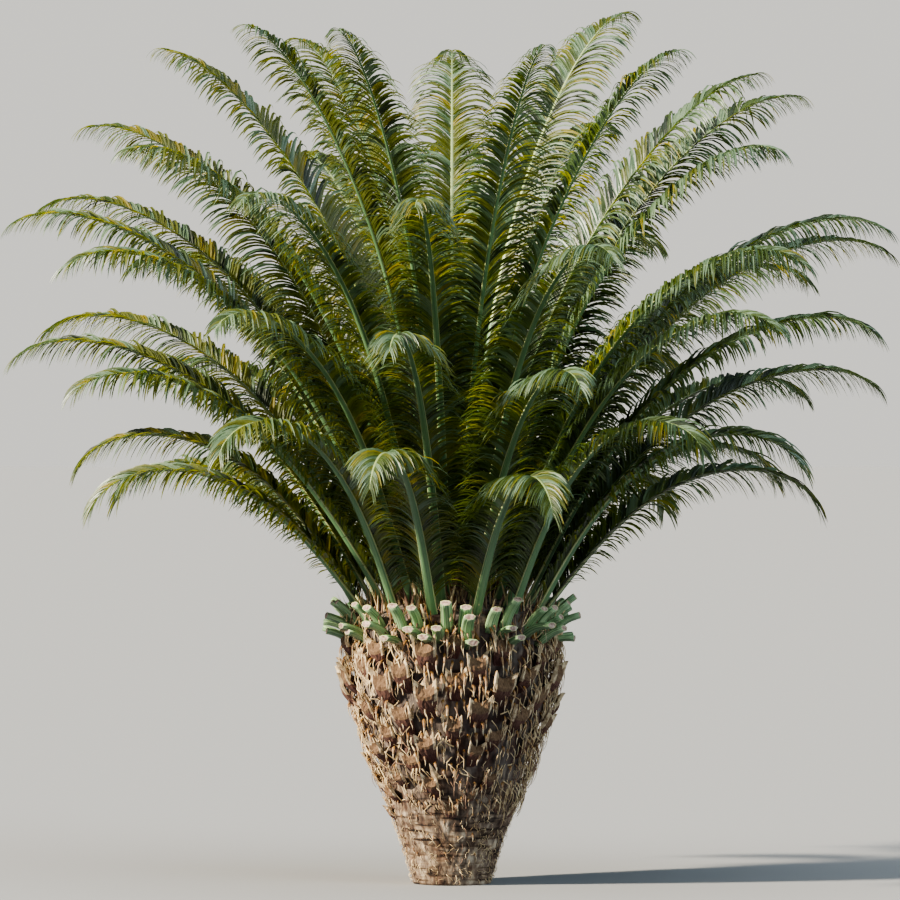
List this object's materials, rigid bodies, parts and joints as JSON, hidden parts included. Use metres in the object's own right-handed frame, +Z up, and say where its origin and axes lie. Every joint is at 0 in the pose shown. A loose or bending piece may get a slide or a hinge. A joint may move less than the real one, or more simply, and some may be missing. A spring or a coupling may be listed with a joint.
{
  "type": "date palm",
  "caption": "Pruned date palm with a pineapple-shaped trunk of leaf boots, a collar of cut stalks and a full crown of arching feather fronds, rooted at its flat base.",
  "frame": {"origin": "on the trunk's axis, in the flat cut at ground level", "axes": "+Z up along the trunk, -Y towards the viewer of the picture, +X to the viewer's right"},
  "size_m": [5.4196, 5.4166, 5.3252],
  "materials": {
    "bark": "rough brown leaf boots with straw-coloured fibre and paler edges",
    "cut_stalk": "waxy green ribbed stalks with pale pithy cut ends",
    "leaf": "satin green leaflets, yellow-olive where light comes through, on pale green ribs"
  },
  "bodies": {
    "root": {"cut_stalks": "cut_stalk", "frond_heart_01": "leaf", "frond_heart_02": "leaf", "frond_heart_03": "leaf", "frond_heart_04": "leaf", "frond_heart_05": "leaf", "frond_heart_06": "leaf", "frond_heart_07": "leaf", "frond_heart_08": "leaf", "frond_heart_09": "leaf", "frond_lower_01": "leaf", "frond_lower_02": "leaf", "frond_lower_03": "leaf", "frond_lower_04": "leaf", "frond_lower_05": "leaf", "frond_lower_06": "leaf", "frond_lower_07": "leaf", "frond_lower_08": "leaf", "frond_lower_09": "leaf", "frond_lower_10": "leaf", "frond_lower_11": "leaf", "frond_lower_12": "leaf", "frond_lower_13": "leaf", "frond_lower_14": "leaf", "frond_lowest_01": "leaf", "frond_lowest_02": "leaf", "frond_lowest_03": "leaf", "frond_lowest_04": "leaf", "frond_lowest_05": "leaf", "frond_lowest_06": "leaf", "frond_lowest_07": "leaf", "frond_lowest_08": "leaf", "frond_lowest_09": "leaf", "frond_lowest_10": "leaf", "frond_lowest_11": "leaf", "frond_lowest_12": "leaf", "frond_lowest_13": "leaf", "frond_lowest_14": "leaf", "frond_middle_01": "leaf", "frond_middle_02": "leaf", "frond_middle_03": "leaf", "frond_middle_04": "leaf", "frond_middle_05": "leaf", "frond_middle_06": "leaf", "frond_middle_07": "leaf", "frond_middle_08": "leaf", "frond_middle_09": "leaf", "frond_middle_10": "leaf", "frond_middle_11": "leaf", "frond_middle_12": "leaf", "frond_middle_13": "leaf", "frond_middle_14": "leaf", "frond_upper_01": "leaf", "frond_upper_02": "leaf", "frond_upper_03": "leaf", "frond_upper_04": "leaf", "frond_upper_05": "leaf", "frond_upper_06": "leaf", "frond_upper_07": "leaf", "trunk": "bark"}
  },
  "joints": []
}
